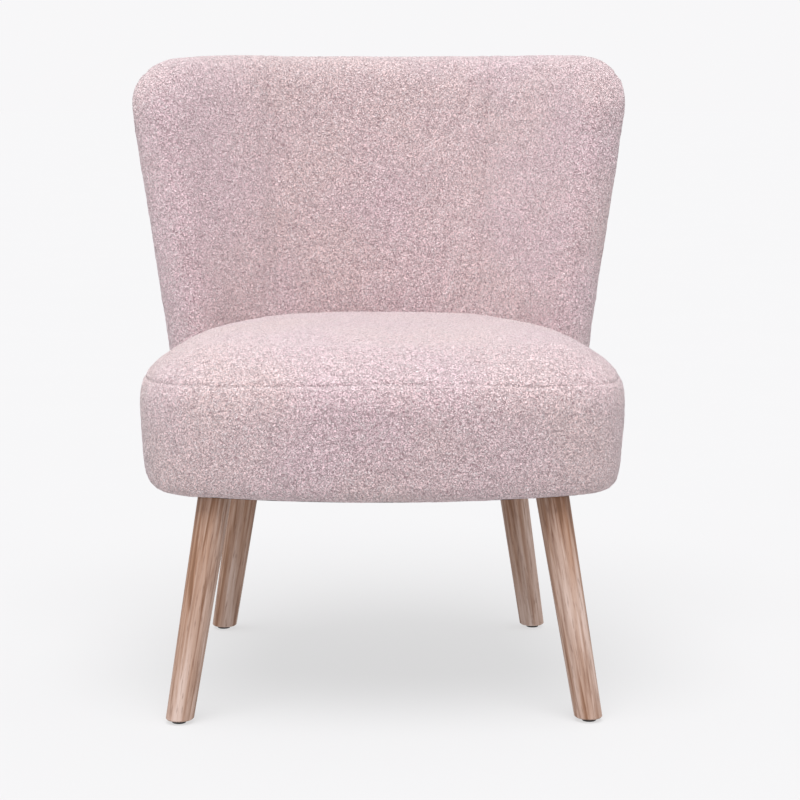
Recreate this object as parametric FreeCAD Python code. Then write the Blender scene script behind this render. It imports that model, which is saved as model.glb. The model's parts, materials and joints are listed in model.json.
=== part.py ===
import FreeCAD, Part
import math
import os

# Armless accent chair with a curved wrap-around back, in millimetres.
# +Z is up, the sitter faces -Y, and the origin is on the floor under the middle of the chair's box.

# ---- driving dimensions: floor, legs ------------------------------------------------------------
GLIDE_HEIGHT = 4.0
GLIDE_RADIUS = 8.0
FRONT_FOOT = (229.5, -265.3)      # centre of a front foot, right-hand side
REAR_FOOT = (202.7, 184.7)
SIDE_SPLAY = 9.0                  # degrees that a leg leans outwards
FORE_AFT_SPLAY = 12.0             # degrees that a leg leans forwards or backwards
FOOT_RADIUS = 15.5
LEG_TOP_RADIUS = 19.0
LEG_TOP_Z = 262.0
FOOT_CHAMFER = 1.5
NAIL_RADIUS = 1.5
NAIL_LENGTH = 20.0
BOLT_RADIUS = 4.0
BOLT_IN_LEG = 40.0
BOLT_ABOVE_LEG = 34.0

# ---- driving dimensions: seat -------------------------------------------------------------------
UNDERSIDE_Z = 250.0
SEAM_Z = 384.0
CROWN_RADIUS = 200.0              # the seat's top, curving in from the shoulder
CROWN_ANGLE = 52.0                # where the shoulder passes into the crown
SEAT_FRONT_Y = -295.3
SEAT_HALF_WIDTH = 280.0
WIDEST_Y = -106.0                 # where the seat is widest
FRONT_ARC_RADIUS = 600.0
CORNER_RADIUS = 85.0
FLANK_RADIUS = 450.0
REAR_ARC_RADIUS = 318.0           # round the back's axis, hidden inside the back
BORDER_TAPER = 8.0
ROLL_RADIUS = 22.0                # lower edge of the border
SHOULDER_RADIUS = 45.0            # edge between border and top
SHOULDER_Z = 352.0                # height of the shoulder arc's centre
COVER = 3.0                       # thickness of the looped-pile cover
TURN_UNDER = 25.0                 # width of cover stapled under the frame
WADDING = 9.0
DECK_Z = 320.0                    # top of the springs' insulator is just above this
INSULATOR = 4.5

# ---- driving dimensions: back -------------------------------------------------------------------
BACK_TOP_Z = 745.0
BACK_AXIS_Y = -120.3              # the back is part of a ring round this vertical axis
LEAN = 11.3                       # degrees of lean, the same all round the ring
INNER_RADIUS = 285.0              # of the inside face, at SEAT_LEVEL_Z
SEAT_LEVEL_Z = 400.0
OUTER_BASE_RADIUS = 344.0         # of the outside face, below the seat
OUTER_KNEE_Z = 360.0              # the outside face starts to lean here
BACK_HALF_ANGLE = 52.0            # from the middle of the back to the end of a wing
TOP_CORNER_RADIUS = 68.0
LOW_CORNER_RADIUS = 30.0
EDGE_RADIUS = 28.0                # padding rolled over the rim
TUCK_Z = 324.5                    # soft parts in front of the frame end here
CORE_DEPTH = 24.0                 # outside face to the base frame, below TUCK_Z
SEAM_X_LOW = 126.0                # inside-back seams, at SEAT_LEVEL_Z
SEAM_X_HIGH = 144.0               # and at the top
REAR_SEAM_INSET = 24.0            # outside-back panel, in from the rim

# ---- driving dimensions: frame ------------------------------------------------------------------
FRAME_INSET = 26.0                # rails, in from the seat's outline
RAIL = 22.0                       # rail thickness
FRAME_Z = 253.5
RAIL_TOP_Z = 313.0
REAR_PAD = 11.0                   # outside face to the posts
POST_DEPTH = 12.0
POST_WIDTH = 32.0
RIB_DEPTH = 22.0
RIB_THICKNESS = 18.0
RIB_HEIGHTS = (345.0, 440.0, 560.0, 685.0)
INNER_POST_ANGLE = 11.0
WING_POST_ANGLE = 39.0
FRAME_HALF_ANGLE = 43.0
LINER = 3.0
BLOCK_ANGLE = 45.0                # front end of a rear leg block
BLOCK_INNER_X = 148.0             # inner end of a front leg block
BLOCK_REAR_Y = -156.0             # rear end of a front leg block
BLOCK_BEVEL = (62.0, 40.0)        # its bevelled inner corner, across and along the chair
GAP = 0.3                         # between pieces that only lie against each other
WIRE_RADIUS = 1.8
SPRING_SPACING = 60.0
SPRING_HALF_WIDTH = 19.0
SPRING_BEND = 8.0
CLIP = (20.0, 16.0, 6.2)
STAPLE = (10.0, 1.2, 0.8)
STAPLE_COUNT = 26

TAN_LEAN = math.tan(math.radians(LEAN))
KNEE_BLEND = 45.0                 # half the height over which the outside face bends
FAR = 900.0
pieces = {}


def v(x, y, z):
    return FreeCAD.Vector(x, y, z)


def keep(name, shape):
    """Keep a piece under its node name, as one solid or a compound of separate solids."""
    solids = shape.Solids
    pieces[name] = solids[0] if len(solids) == 1 else Part.makeCompound(solids)


def largest(shape):
    return max(shape.Solids, key=lambda solid: solid.Volume)


def mirrored(shape):
    return shape.mirror(v(0, 0, 0), v(1, 0, 0))


def box(x0, x1, y0, y1, z0, z1):
    return Part.makeBox(x1 - x0, y1 - y0, z1 - z0, v(x0, y0, z0))


def prism(corners, z0, z1):
    """Upright prism on a polygon of (x, y) corners."""
    points = [v(x, y, z0) for x, y in corners]
    wire = Part.makePolygon(points + points[:1])
    return Part.Face(wire).extrude(v(0, 0, z1 - z0))


# ---- the seat's form ----------------------------------------------------------------------------
def circle_crossing(centre_a, radius_a, centre_b, radius_b, rear):
    """Where two circles cross: the crossing nearer the rear, or nearer the front."""
    gap_x, gap_y = centre_b[0] - centre_a[0], centre_b[1] - centre_a[1]
    apart = math.hypot(gap_x, gap_y)
    along = (radius_a ** 2 - radius_b ** 2 + apart ** 2) / (2 * apart)
    aside = math.sqrt(radius_a ** 2 - along ** 2)
    middle_x, middle_y = centre_a[0] + along * gap_x / apart, centre_a[1] + along * gap_y / apart
    step_x, step_y = aside * gap_y / apart, -aside * gap_x / apart
    crossings = [(middle_x + step_x, middle_y + step_y), (middle_x - step_x, middle_y - step_y)]
    return sorted(crossings, key=lambda point: point[1])[1 if rear else 0]


def seat_outline(inset, z):
    """Plan of the seat moved in by inset: front arc, corner arcs, long flank arcs, hidden rear arc."""
    front_centre = (0.0, SEAT_FRONT_Y + FRONT_ARC_RADIUS)
    flank_centre = (SEAT_HALF_WIDTH - FLANK_RADIUS, WIDEST_Y)
    rear_centre = (0.0, BACK_AXIS_Y)
    corner_centre = circle_crossing(front_centre, FRONT_ARC_RADIUS - CORNER_RADIUS,
                                    flank_centre, FLANK_RADIUS - CORNER_RADIUS, False)
    radius = CORNER_RADIUS - inset

    def beyond(centre):
        """Point of the corner arc on the line from another arc's centre."""
        run_x, run_y = corner_centre[0] - centre[0], corner_centre[1] - centre[1]
        scale = radius / math.hypot(run_x, run_y)
        return v(corner_centre[0] + run_x * scale, corner_centre[1] + run_y * scale, z)

    def on_flank(y):
        reach = math.sqrt((FLANK_RADIUS - inset) ** 2 - (y - WIDEST_Y) ** 2)
        return v(flank_centre[0] + reach, y, z)

    def flip(point):
        return v(-point.x, point.y, z)

    start, turn = beyond(front_centre), beyond(flank_centre)
    mid_x, mid_y = (start.x + turn.x) / 2 - corner_centre[0], (start.y + turn.y) / 2 - corner_centre[1]
    scale = radius / math.hypot(mid_x, mid_y)
    middle = v(corner_centre[0] + mid_x * scale, corner_centre[1] + mid_y * scale, z)
    rear_x, rear_y = circle_crossing(flank_centre, FLANK_RADIUS - inset,
                                     rear_centre, REAR_ARC_RADIUS - inset, True)
    end = v(rear_x, rear_y, z)
    edges = [
        Part.Arc(flip(start), v(0, SEAT_FRONT_Y + inset, z), start).toShape(),
        Part.Arc(start, middle, turn).toShape(),
        Part.Arc(turn, on_flank((turn.y + end.y) / 2), end).toShape(),
        Part.Arc(end, v(0, BACK_AXIS_Y + REAR_ARC_RADIUS - inset, z), flip(end)).toShape(),
        Part.Arc(flip(end), flip(on_flank((turn.y + end.y) / 2)), flip(turn)).toShape(),
        Part.Arc(flip(turn), flip(middle), flip(start)).toShape(),
    ]
    return Part.Wire(edges)


def seat_profile(gap):
    """(inset, height) up the seat's edge, moved in from the outer face by gap: roll, wall, shoulder, crown."""
    roll, shoulder, crown = ROLL_RADIUS - gap, SHOULDER_RADIUS - gap, CROWN_RADIUS - gap
    steps = []
    for angle in range(0, 91, 18):
        lean = math.radians(angle)
        inset = BORDER_TAPER + ROLL_RADIUS - roll * math.sin(lean)
        steps.append((inset, UNDERSIDE_Z + ROLL_RADIUS - roll * math.cos(lean)))
    wall = SHOULDER_Z - steps[-1][1]
    for part in (0.2, 0.4, 0.6, 0.8):
        steps.append((gap + BORDER_TAPER * (1 - part) ** 2, steps[5][1] + wall * part))
    for part in (0.0, 0.25, 0.5, 0.75, 1.0):
        lean = math.radians(CROWN_ANGLE * part)
        steps.append((SHOULDER_RADIUS - shoulder * math.cos(lean), SHOULDER_Z + shoulder * math.sin(lean)))
    turn = math.radians(CROWN_ANGLE)
    apart = CROWN_RADIUS - SHOULDER_RADIUS
    centre = (SHOULDER_RADIUS + apart * math.cos(turn), SHOULDER_Z - apart * math.sin(turn))
    for rise in (4.0, 8.0, 12.0, 15.0, 18.0):
        lean = math.radians(CROWN_ANGLE + rise)
        steps.append((centre[0] - crown * math.cos(lean), centre[1] + crown * math.sin(lean)))
    return steps


def seat_body(gap):
    return Part.makeLoft([seat_outline(inset, z) for inset, z in seat_profile(gap)], True)


def seat_prism(inset, z0, z1):
    return Part.Face(seat_outline(inset, z0)).extrude(v(0, 0, z1 - z0))


# ---- the back's form ----------------------------------------------------------------------------
def inner_radius(z):
    return INNER_RADIUS + (z - SEAT_LEVEL_Z) * TAN_LEAN


def outer_radius(z):
    """Upright below the knee, leaning above it, with a parabola between the two."""
    above = z - OUTER_KNEE_Z
    if above >= KNEE_BLEND:
        return OUTER_BASE_RADIUS + above * TAN_LEAN
    if above <= -KNEE_BLEND:
        return OUTER_BASE_RADIUS
    return OUTER_BASE_RADIUS + TAN_LEAN * (above + KNEE_BLEND) ** 2 / (4 * KNEE_BLEND)


def rim_distance(along, z):
    """How far a point of the back lies inside its rim: along is its distance from the wing's end."""
    down, up = BACK_TOP_Z - z, z - UNDERSIDE_Z
    edge, radius = (down, TOP_CORNER_RADIUS) if down < up else (up, LOW_CORNER_RADIUS)
    if along < radius and edge < radius:
        return radius - math.hypot(radius - along, radius - edge)
    return min(along, edge)


def half_thickness(along, z, gap):
    rolled = EDGE_RADIUS - min(rim_distance(along, z), EDGE_RADIUS)
    flat = (outer_radius(z) - inner_radius(z)) / 2 - EDGE_RADIUS
    return flat + math.sqrt(max((EDGE_RADIUS - gap) ** 2 - rolled ** 2, 0.0))


def rim_height(along, gap, z_in, z_out):
    """Height between z_in and z_out where the rim, moved in by gap, is crossed."""
    for _ in range(40):
        middle = (z_in + z_out) / 2
        if rim_distance(along, middle) > gap:
            z_in = middle
        else:
            z_out = middle
    return z_in


def back_section(angle, along, gap):
    """Closed outline of the back where an upright plane through its axis cuts it."""
    belly = (UNDERSIDE_Z + BACK_TOP_Z) / 2
    top = rim_height(along, gap, belly, BACK_TOP_Z)
    bottom = rim_height(along, gap, belly, UNDERSIDE_Z)
    roll = EDGE_RADIUS - gap
    rolled = [roll * (1 - math.cos(math.radians(step))) for step in (0, 12, 27, 45, 65, 90)]
    heights = [bottom + rise for rise in rolled]
    heights += [bottom + (top - bottom) * part for part in (0.2, 0.3, 0.4, 0.55, 0.7, 0.82)]
    heights += [top - drop for drop in reversed(rolled)]
    direction = v(math.sin(angle), math.cos(angle), 0)
    inner, outer = [], []
    for z in heights:
        middle = (inner_radius(z) + outer_radius(z)) / 2
        half = half_thickness(along, z, gap)
        inner.append(direction * (middle - half) + v(0, BACK_AXIS_Y, z))
        outer.append(direction * (middle + half) + v(0, BACK_AXIS_Y, z))
    curve = Part.BSplineCurve()
    curve.interpolate(Points=inner + outer[::-1], PeriodicFlag=True)
    return Part.Wire(curve.toShape())


def back_body(gap):
    """The whole padded back, its rim rolled all round, moved in by gap."""
    reach = 0.5 * (inner_radius(BACK_TOP_Z) + outer_radius(SEAT_LEVEL_Z))
    half = math.radians(BACK_HALF_ANGLE)
    roll = EDGE_RADIUS - gap
    alongs = [gap + roll * (1 - math.sin(math.radians(lean))) for lean in (78, 60, 40, 20, 0)]
    alongs += [TOP_CORNER_RADIUS * part for part in (0.6, 0.85, 1.1)]
    alongs += [TOP_CORNER_RADIUS + (half * reach - TOP_CORNER_RADIUS) * part for part in (0.4, 0.7)]
    sections = [back_section(along / reach - half, along, gap) for along in alongs]
    sections.append(back_section(0.0, half * reach, gap))
    sections += [back_section(half - along / reach, along, gap) for along in reversed(alongs)]
    return Part.makeLoft(sections, True)


def ring(depth_in, depth_out, z0, z1, angle0, angle1):
    """Part of the back's ring between two depths under its outside face, in degrees from the middle."""
    knee = [OUTER_KNEE_Z + KNEE_BLEND * part for part in (-1.0, -0.5, 0.0, 0.5, 1.0)]
    heights = [z0] + [z for z in knee if z0 < z < z1] + [z1]
    outline = [v(0, BACK_AXIS_Y + outer_radius(z) - depth_out, z) for z in heights]
    outline += [v(0, BACK_AXIS_Y + outer_radius(z) - depth_in, z) for z in reversed(heights)]
    face = Part.Face(Part.makePolygon(outline + outline[:1]))
    solid = face.revolve(v(0, BACK_AXIS_Y, 0), v(0, 0, 1), angle1 - angle0)
    return solid.rotate(v(0, BACK_AXIS_Y, 0), v(0, 0, 1), angle0)


def back_point(depth, angle, z):
    """Point of the ring at a depth under the outside face; positive angles are on the right."""
    radius = outer_radius(z) - depth
    turn = math.radians(angle)
    return v(radius * math.sin(turn), BACK_AXIS_Y + radius * math.cos(turn), z)


def lower_core():
    """Room for the base frame and the seat's rear, in front of the outside cover's lower part."""
    behind = ring(FAR / 3, CORE_DEPTH, UNDERSIDE_Z - 20, TUCK_Z, -75, 75)
    return behind.common(seat_prism(COVER, UNDERSIDE_Z - 20, TUCK_Z))


# ---- legs ---------------------------------------------------------------------------------------
def leg_axis(foot, front):
    """Foot centre, top centre and unit direction of a right-hand leg."""
    rise = LEG_TOP_Z
    inward = rise * math.tan(math.radians(SIDE_SPLAY))
    along = rise * math.tan(math.radians(FORE_AFT_SPLAY))
    start = v(foot[0], foot[1], 0)
    end = v(foot[0] - inward, foot[1] + (along if front else -along), rise)
    return start, end, (end - start).normalize()


def leg(start, end, direction):
    """Tapered round leg, cut level at the foot and square to its own axis at the top."""
    length = (end - start).Length
    slope = (LEG_TOP_RADIUS - FOOT_RADIUS) / length
    tail = 20.0
    base = start - direction * tail
    cone = Part.makeCone(FOOT_RADIUS - slope * tail, LEG_TOP_RADIUS, length + tail, base, direction)
    cone = cone.cut(box(-FAR, FAR, -FAR, FAR, -FAR / 3, GLIDE_HEIGHT))
    sole = [edge for edge in cone.Edges if edge.BoundBox.ZMax < GLIDE_HEIGHT + 0.1]
    cone = cone.makeChamfer(FOOT_CHAMFER, sole)
    cone = cone.cut(Part.makeCylinder(BOLT_RADIUS, BOLT_IN_LEG, end - direction * BOLT_IN_LEG, direction))
    nail = Part.makeCylinder(NAIL_RADIUS, NAIL_LENGTH, v(start.x, start.y, GLIDE_HEIGHT))
    return cone.cut(nail), nail


def glide(start):
    """Flat nylon disc with a rounded lower edge and a countersink for its nail."""
    disc = Part.makeCylinder(GLIDE_RADIUS, GLIDE_HEIGHT, v(start.x, start.y, 0))
    rim = [edge for edge in disc.Edges if edge.BoundBox.ZMax < 0.1]
    return disc.makeFillet(1.2, rim)


def hanger_bolt(end, direction):
    length = BOLT_IN_LEG + BOLT_ABOVE_LEG
    return Part.makeCylinder(BOLT_RADIUS, length, end - direction * BOLT_IN_LEG, direction)


def t_nut(end, direction):
    """Flanged barrel in the top of a leg block, round the hanger bolt."""
    depth, flange = 20.0, 2.0
    seat = end + direction * (BOLT_ABOVE_LEG - depth)
    barrel = Part.makeCylinder(BOLT_RADIUS + 1.5, depth - flange, seat, direction)
    plate = Part.makeCylinder(BOLT_RADIUS + 7.0, flange, seat + direction * (depth - flange), direction)
    return barrel.fuse(plate).cut(hanger_bolt(end, direction)).removeSplitter()


def rear_sector(half_angle):
    """Upright wedge that opens backwards from the back's axis."""
    turn = math.radians(half_angle)
    side, rear = FAR * math.sin(turn), BACK_AXIS_Y + FAR * math.cos(turn)
    return prism([(0, BACK_AXIS_Y), (side, rear), (-side, rear)], 0, FAR)


def leg_clearance(end, direction, spare):
    """Room round a leg's top, from below the chair up to the top's own plane."""
    return Part.makeCylinder(LEG_TOP_RADIUS + spare, 60.0, end - direction * 60.0, direction)


# ---- base frame ---------------------------------------------------------------------------------
def base_frame(legs):
    """Four rails and four leg blocks; each block has a socket for its leg and a hole for its T-nut."""
    outline = seat_prism(FRAME_INSET, FRAME_Z, RAIL_TOP_Z)
    rails = outline.cut(seat_prism(FRAME_INSET + RAIL, FRAME_Z, RAIL_TOP_Z))
    bevel_x, bevel_y = BLOCK_INNER_X + BLOCK_BEVEL[0], BLOCK_REAR_Y - BLOCK_BEVEL[1]
    corner = prism([(BLOCK_INNER_X, -FAR), (FAR, -FAR), (FAR, BLOCK_REAR_Y), (bevel_x, BLOCK_REAR_Y),
                    (BLOCK_INNER_X, bevel_y)], FRAME_Z, RAIL_TOP_Z)
    front_block = outline.common(corner)
    rear_block = mirrored(ring(104.0, CORE_DEPTH + GAP, FRAME_Z, RAIL_TOP_Z, 21.0, BLOCK_ANGLE))
    rear_block = rear_block.common(seat_prism(FRAME_INSET - 12, FRAME_Z, RAIL_TOP_Z))
    front_rail = rails.common(box(-BLOCK_INNER_X, BLOCK_INNER_X, -FAR, bevel_y, FRAME_Z, RAIL_TOP_Z))
    side_rail = rails.common(box(100, FAR, BLOCK_REAR_Y, FAR, FRAME_Z, RAIL_TOP_Z))
    side_rail = side_rail.cut(rear_sector(BLOCK_ANGLE))
    rear_rail = ring(CORE_DEPTH + GAP + RAIL, CORE_DEPTH + GAP, FRAME_Z, RAIL_TOP_Z, -21.0, 21.0)
    blocks = {"front": front_block, "rear": rear_block}
    keep("seat_front_rail", front_rail)
    keep("seat_rear_rail", rear_rail.cut(back_bolts(GAP)))
    keep("seat_side_rail_right", largest(side_rail))
    keep("seat_side_rail_left", mirrored(largest(side_rail)))
    for row, block in blocks.items():
        _, end, direction = legs[row]
        block = block.cut(leg_clearance(end, direction, 0.0))
        block = block.cut(hanger_bolt(end, direction)).cut(t_nut(end, direction))
        above = end + direction * (BOLT_ABOVE_LEG - 0.01)
        block = block.cut(Part.makeCylinder(BOLT_RADIUS + 7.0, 40.0, above, direction))
        keep(f"leg_block_{row}_right", largest(block))
        keep(f"leg_block_{row}_left", mirrored(largest(block)))


def spring(x, y0, y1, z):
    """Zigzag seat spring: straight rungs across the seat, joined by half-round bends."""
    pitch = 2 * SPRING_BEND
    rungs = int((y1 - y0) / pitch)
    reach = SPRING_HALF_WIDTH - SPRING_BEND
    edges = []
    for rung in range(rungs + 1):
        y, side = y0 + rung * pitch, (1 if rung % 2 == 0 else -1)
        near, far = v(x - side * reach, y, z), v(x + side * reach, y, z)
        edges.append(Part.LineSegment(near, far).toShape())
        if rung < rungs:
            turn = v(x + side * SPRING_HALF_WIDTH, y + SPRING_BEND, z)
            edges.append(Part.Arc(far, turn, v(far.x, y + pitch, z)).toShape())
    start = v(x - reach, y0, z)
    section = Part.Wire(Part.makeCircle(WIRE_RADIUS, start, v(1, 0, 0)))
    return Part.Wire(edges).makePipeShell([section], True, False), y0 + rungs * pitch


def springs():
    """Five springs on top of the rails, each end held by a clip."""
    wires, clips = [], []
    z = RAIL_TOP_Z + WIRE_RADIUS + 1.2
    for place in range(-2, 3):
        x = place * SPRING_SPACING
        y0 = SEAT_FRONT_Y + FRONT_ARC_RADIUS - math.sqrt((FRONT_ARC_RADIUS - FRAME_INSET - 11) ** 2 - x ** 2)
        radius = OUTER_BASE_RADIUS - CORE_DEPTH - 10
        y1 = BACK_AXIS_Y + math.sqrt(radius ** 2 - x ** 2)
        wire, y_last = spring(x, y0, y1, z)
        wires.append(wire)
        for y in (y0, y_last):
            half_x, half_y = CLIP[0] / 2, CLIP[1] / 2
            clip = box(x - half_x, x + half_x, y - half_y, y + half_y, RAIL_TOP_Z, RAIL_TOP_Z + CLIP[2])
            clips.append(largest(clip.cut(wire)))
    keep("seat_springs", Part.makeCompound(wires))
    keep("spring_clips", Part.makeCompound(clips))


# ---- seat padding and covers --------------------------------------------------------------------
def seat_soft_parts(back_room, legs_room):
    shell = seat_body(0).cut(seat_body(COVER))
    within = seat_body(COVER + GAP)
    deck = DECK_Z + INSULATOR + GAP
    above_deck = box(-FAR, FAR, -FAR, FAR, deck, FAR)
    top = shell.common(box(-FAR, FAR, -FAR, FAR, SEAM_Z, FAR)).cut(back_room)
    border = shell.common(box(-FAR, FAR, -FAR, FAR, 0, SEAM_Z - GAP)).cut(back_room)
    opening = seat_prism(BORDER_TAPER + ROLL_RADIUS + TURN_UNDER, UNDERSIDE_Z - 10, UNDERSIDE_Z + 20)
    keep("seat_top_cover", largest(top))
    behind = rear_sector(BLOCK_ANGLE + 0.5)
    keep("seat_border_cover", largest(border.cut(opening).cut(legs_room).cut(behind)))
    core = seat_body(COVER + GAP + WADDING)
    wadding = within.cut(core).common(above_deck).cut(back_room)
    keep("seat_wadding", largest(wadding))
    keep("seat_foam_block", largest(seat_body(COVER + 2 * GAP + WADDING).common(above_deck).cut(back_room)))
    strip = within.common(box(-FAR, FAR, -FAR, FAR, FRAME_Z, deck - GAP))
    strip = strip.cut(seat_prism(FRAME_INSET - GAP, UNDERSIDE_Z - 10, FAR)).cut(back_room).cut(legs_room)
    strip = strip.cut(behind)
    keep("seat_border_foam", largest(strip))
    felt = seat_prism(FRAME_INSET + 1, DECK_Z, DECK_Z + INSULATOR).cut(back_room)
    keep("spring_insulator", largest(felt))


def underside_face(inset, z0, z1):
    """The chair's footprint, seat and back together, moved in by inset."""
    reach = BACK_HALF_ANGLE - math.degrees(inset / OUTER_BASE_RADIUS)
    rear = ring(100.0 - inset, inset, z0, z1, -reach, reach)
    return seat_prism(inset + BORDER_TAPER, z0, z1).fuse(rear).removeSplitter()


def dust_cover(legs_room):
    inset = ROLL_RADIUS - 2
    sheet = underside_face(inset, UNDERSIDE_Z - 1.0, UNDERSIDE_Z - 0.2)
    keep("dust_cover", largest(sheet.cut(legs_room)))
    row = underside_face(inset + 8, UNDERSIDE_Z - 1.0, UNDERSIDE_Z - 0.2)
    rim = max(row.Wires, key=lambda wire: wire.BoundBox.XLength + wire.BoundBox.YLength)
    rim = Part.Wire(Part.__sortEdges__([edge for edge in rim.Edges]))
    crowns = []
    points = rim.discretize(Number=STAPLE_COUNT + 1)[:-1]
    for spot, following in zip(points, points[1:] + points[:1]):
        heading = math.degrees(math.atan2(following.y - spot.y, following.x - spot.x))
        crown = Part.makeBox(*STAPLE, v(-STAPLE[0] / 2, -STAPLE[1] / 2, 0))
        crown.rotate(v(0, 0, 0), v(0, 0, 1), heading)
        crown.translate(v(spot.x, spot.y, UNDERSIDE_Z - 1.0 - STAPLE[2]))
        if crown.common(legs_room).Volume < 1e-6:
            crowns.append(crown)
    keep("dust_cover_staples", Part.makeCompound(crowns))


# ---- back frame ---------------------------------------------------------------------------------
def back_bolts(spare=0.0):
    """Two bolts through each inner post and the rear rail, heads on the post's rear face."""
    solids = []
    for angle in (-INNER_POST_ANGLE, INNER_POST_ANGLE):
        for z in (FRAME_Z + 16, RAIL_TOP_Z - 14):
            head, tip = back_point(REAR_PAD, angle, z), back_point(CORE_DEPTH + RAIL + 10, angle, z)
            direction = (tip - head).normalize()
            solids.append(Part.makeCylinder(3.0 + spare, (tip - head).Length, head, direction))
    return Part.makeCompound(solids)


def back_bolt_hardware():
    """Washers and nuts on the rail's inner face."""
    washers, nuts = [], []
    for angle in (-INNER_POST_ANGLE, INNER_POST_ANGLE):
        for z in (FRAME_Z + 16, RAIL_TOP_Z - 14):
            face = back_point(CORE_DEPTH + 2 * GAP + RAIL, angle, z)
            direction = (back_point(CORE_DEPTH + RAIL + 10, angle, z) - face).normalize()
            bore = Part.makeCylinder(3.0, 30, face - direction * 5, direction)
            washers.append(Part.makeCylinder(8.0, 1.5, face, direction).cut(bore))
            hexagon = Part.makePolygon([
                v(5.5 * math.cos(math.radians(60 * k)), 5.5 * math.sin(math.radians(60 * k)), 0)
                for k in range(7)])
            nut = Part.Face(hexagon).extrude(v(0, 0, 5))
            nut.Placement = FreeCAD.Placement(face + direction * 1.5,
                                              FreeCAD.Rotation(v(0, 0, 1), direction))
            nuts.append(nut.cut(bore))
    keep("back_bolts", back_bolts())
    keep("back_bolt_washers", Part.makeCompound(washers))
    keep("back_bolt_nuts", Part.makeCompound(nuts))


def back_frame():
    """Curved plywood ribs let over four posts, with a liner board on each side."""
    width = math.degrees(POST_WIDTH / 2 / 350.0)
    post_top = RIB_HEIGHTS[-1] + RIB_THICKNESS
    posts = {}
    for name, angle, foot in (("inner", INNER_POST_ANGLE, FRAME_Z + 6), ("wing", WING_POST_ANGLE, RAIL_TOP_Z + GAP)):
        post = ring(REAR_PAD + POST_DEPTH, REAR_PAD, foot, post_top, angle - width, angle + width)
        posts[name + "_left"], posts[name + "_right"] = post, mirrored(post)
    drilled = back_bolts()
    for name, post in posts.items():
        keep("back_post_" + name, post.cut(drilled))
    together = Part.makeCompound(list(posts.values()))
    names = ("back_seat_rib", "back_lumbar_rib", "back_middle_rib", "back_top_rib")
    for name, z in zip(names, RIB_HEIGHTS):
        rib = ring(REAR_PAD + RIB_DEPTH, REAR_PAD, z, z + RIB_THICKNESS, -FRAME_HALF_ANGLE, FRAME_HALF_ANGLE)
        keep(name, largest(rib.cut(together)))
    depth = REAR_PAD + RIB_DEPTH + GAP
    liner_top = post_top + 4
    keep("back_inner_liner", ring(depth + LINER, depth, TUCK_Z + 1, liner_top, -FRAME_HALF_ANGLE, FRAME_HALF_ANGLE))
    keep("back_outer_liner", ring(REAR_PAD - GAP, REAR_PAD - GAP - 1.5, FRAME_Z + 20, liner_top,
                                  -FRAME_HALF_ANGLE, FRAME_HALF_ANGLE).cut(back_bolts(1.0)))


def wing_post_screws():
    """One countersunk screw down each side of a wing post's foot, into the leg block."""
    solids = []
    for angle in (-WING_POST_ANGLE, WING_POST_ANGLE):
        foot = back_point(CORE_DEPTH + 12, angle, RAIL_TOP_Z)
        solids.append(Part.makeCylinder(2.5, 34.0, foot - v(0, 0, 30.0)).fuse(
            Part.makeCone(2.5, 5.0, 3.0, foot + v(0, 0, 3.0))).removeSplitter())
    return Part.makeCompound(solids)


# ---- back padding and covers --------------------------------------------------------------------
def frame_room():
    """Everything behind the inner liner's face, between the wings and under the top roll."""
    depth = REAR_PAD + RIB_DEPTH + LINER + 2 * GAP
    top = RIB_HEIGHTS[-1] + RIB_THICKNESS + 5
    angle = FRAME_HALF_ANGLE + 0.3
    return ring(depth, -60.0, UNDERSIDE_Z - 20, top, -angle, angle)


def seam_wedge(side):
    """Everything outside one of the inside-back seams; side is 1 on the right and -1 on the left."""
    rise = (SEAM_X_HIGH - SEAM_X_LOW) / (BACK_TOP_Z - SEAT_LEVEL_Z)
    low_x = SEAM_X_LOW - rise * (SEAT_LEVEL_Z - 200.0)
    high_x = SEAM_X_LOW + rise * (800.0 - SEAT_LEVEL_Z)
    corners = [(low_x, 200.0), (FAR, 200.0), (FAR, 800.0), (high_x, 800.0)]
    points = [v(side * x, -FAR, z) for x, z in corners]
    return Part.Face(Part.makePolygon(points + points[:1])).extrude(v(0, 2 * FAR, 0))


def back_soft_parts(legs_room):
    core = lower_core()
    shell = back_body(0).cut(back_body(COVER))
    margin = math.degrees(REAR_SEAM_INSET / outer_radius(BACK_TOP_Z))
    field = ring(5.0, -60.0, UNDERSIDE_Z - 20, BACK_TOP_Z - REAR_SEAM_INSET,
                 -BACK_HALF_ANGLE + margin, BACK_HALF_ANGLE - margin)
    keep("outside_back_cover", largest(shell.common(field)))
    inside = shell.cut(field).cut(core).cut(legs_room)
    wedges = [seam_wedge(-1), seam_wedge(1)]
    padding = back_body(COVER + GAP)
    foam = padding.cut(frame_room()).cut(core).cut(legs_room)
    for name, layer in (("inside_back_cover_", inside), ("back_foam_", foam)):
        keep(name + "left", largest(layer.common(wedges[0])))
        keep(name + "right", largest(layer.common(wedges[1])))
        keep(name + "centre", largest(layer.cut(wedges[0]).cut(wedges[1])))
    wadding_depth = REAR_PAD - 2 * GAP - 1.5
    angle = FRAME_HALF_ANGLE
    rear_zone = ring(wadding_depth, -60.0, FRAME_Z, RIB_HEIGHTS[-1] + RIB_THICKNESS + 4, -angle, angle)
    keep("back_rear_wadding", largest(padding.common(rear_zone)))


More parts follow.
